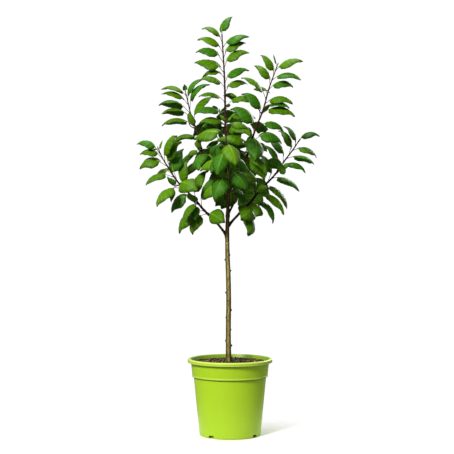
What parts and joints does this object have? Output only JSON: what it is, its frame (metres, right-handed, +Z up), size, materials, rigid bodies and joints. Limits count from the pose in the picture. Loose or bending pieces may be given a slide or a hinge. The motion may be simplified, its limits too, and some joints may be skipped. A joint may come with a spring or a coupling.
{
  "type": "potted pear tree",
  "caption": "Young pear tree on a slim bare stem, with a pointed leafy crown of rising boughs, in a round plastic nursery pot filled with compost.",
  "frame": {"origin": "centre of the pot's flat underside", "axes": "+Z up along the trunk, seen from the -Y side with +X to the right"},
  "size_m": [0.5205, 0.4209, 1.1848],
  "materials": {
    "pot": "satin",
    "compost": "matte",
    "bark": "matte",
    "foliage": "satin"
  },
  "bodies": {
    "root": {"pot": "pot", "compost": "compost", "trunk": "bark", "lower_left_bough": "bark", "lower_right_bough": "bark", "upper_left_bough": "bark", "upper_right_bough": "bark", "front_bough": "bark", "back_low_bough": "bark", "back_high_bough": "bark", "leader_foliage": "foliage", "lower_left_foliage": "foliage", "lower_right_foliage": "foliage", "upper_left_foliage": "foliage", "upper_right_foliage": "foliage", "front_foliage": "foliage", "back_low_foliage": "foliage", "back_high_foliage": "foliage"}
  },
  "joints": []
}
